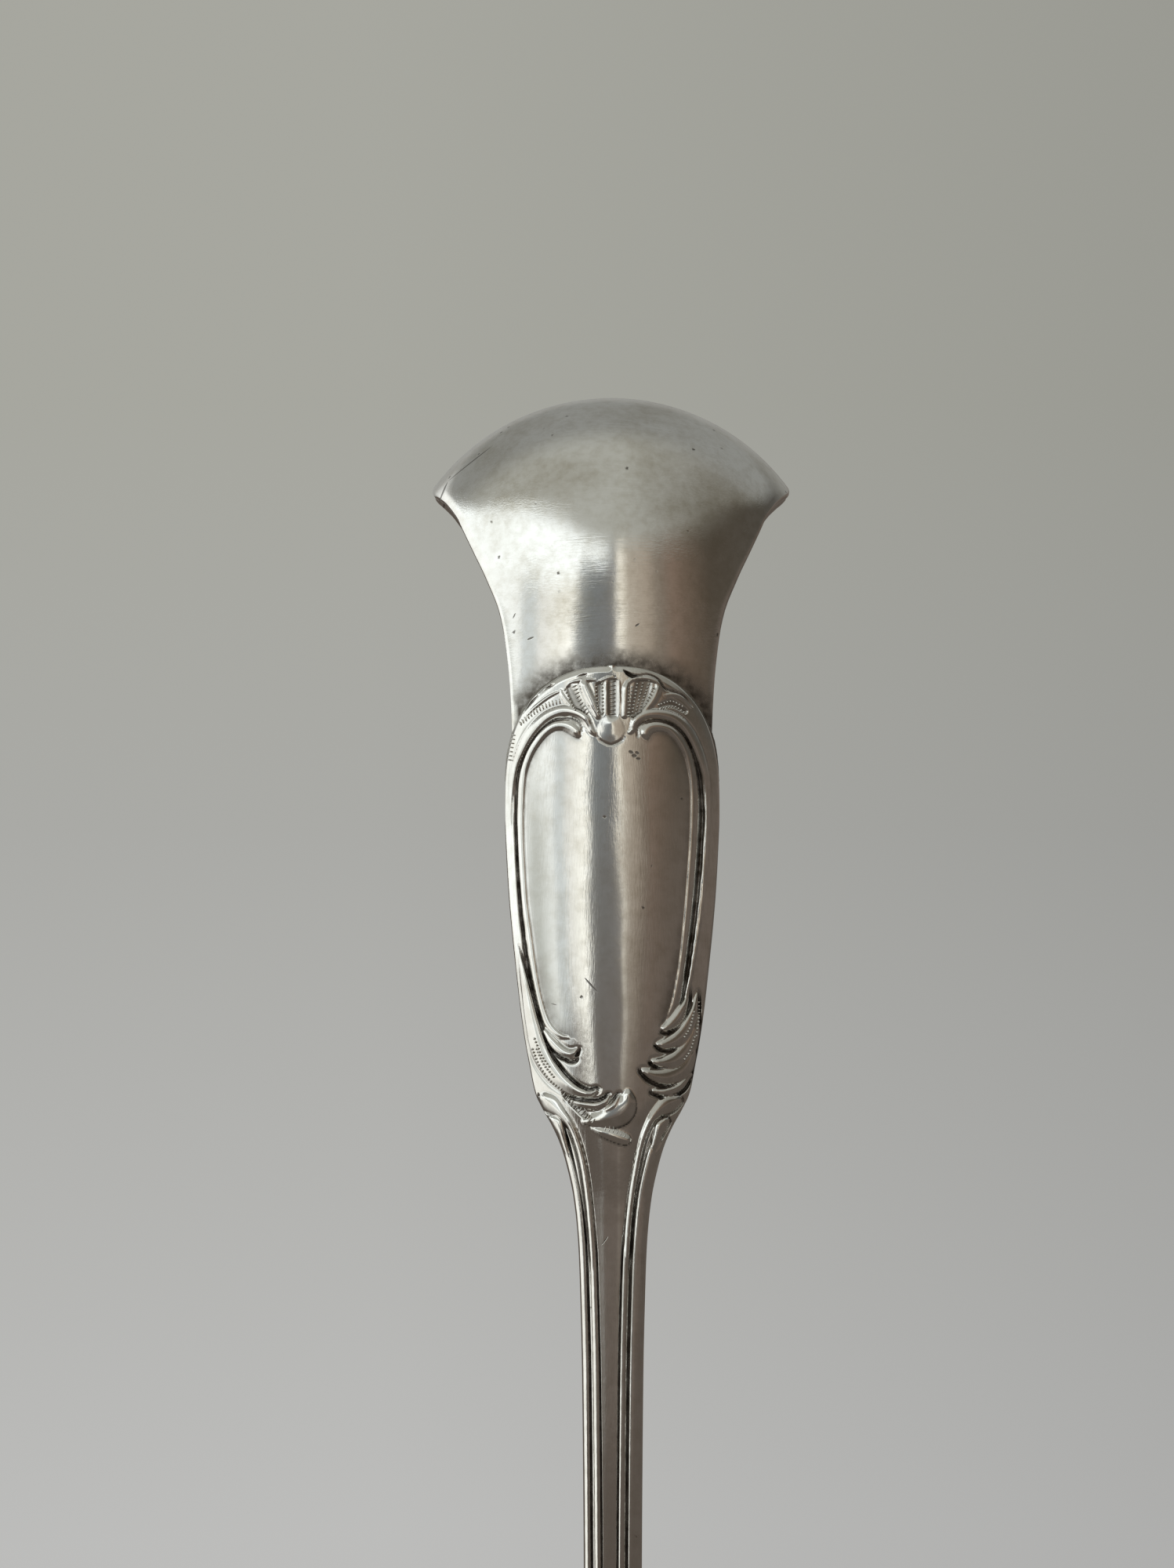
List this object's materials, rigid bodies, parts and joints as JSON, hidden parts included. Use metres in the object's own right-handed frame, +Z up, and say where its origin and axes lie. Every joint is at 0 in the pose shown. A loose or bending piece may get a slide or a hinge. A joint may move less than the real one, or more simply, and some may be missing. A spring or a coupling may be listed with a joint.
{
  "type": "sugar tongs",
  "caption": "Spring sugar tongs: a flared sheet bow brazed to struck arms with framed cartouches and threaded stems, ending in inward-hooked claws.",
  "frame": {"origin": "on the ground under the middle of the tongs, standing on their claws with the bow up", "axes": "+Z up along the tongs from the claws to the bow, +X across the arms, the front arm faces -Y"},
  "size_m": [0.0262, 0.0504, 0.1502],
  "materials": {
    "silver_plate": "polished silver plate, lightly scratched, with dark tarnish in the grooves",
    "braze": "dull yellowish silver solder"
  },
  "bodies": {
    "bow": {"bow_spring": "silver_plate"},
    "front_arm": {"front_arm": "silver_plate", "front_brazed_seam": "braze"},
    "rear_arm": {"rear_arm": "silver_plate", "rear_brazed_seam": "braze"}
  },
  "joints": [
    {"name": "front_arm_flex", "type": "hinge", "parent": "bow", "child": "front_arm", "pos_m": [0, -0.01159, 0.13832], "axis": [1, 0, 0], "range_deg": [0, 6], "stiffness_Nm_per_rad": 2, "deforming": ["bow_spring"]},
    {"name": "rear_arm_flex", "type": "hinge", "parent": "bow", "child": "rear_arm", "pos_m": [0, 0.01159, 0.13832], "axis": [-1, 0, 0], "range_deg": [0, 6], "stiffness_Nm_per_rad": 2, "deforming": ["bow_spring"]}
  ],
  "couplings": [
    {"joint": "rear_arm_flex", "follows": "front_arm_flex", "ratio": 1}
  ]
}
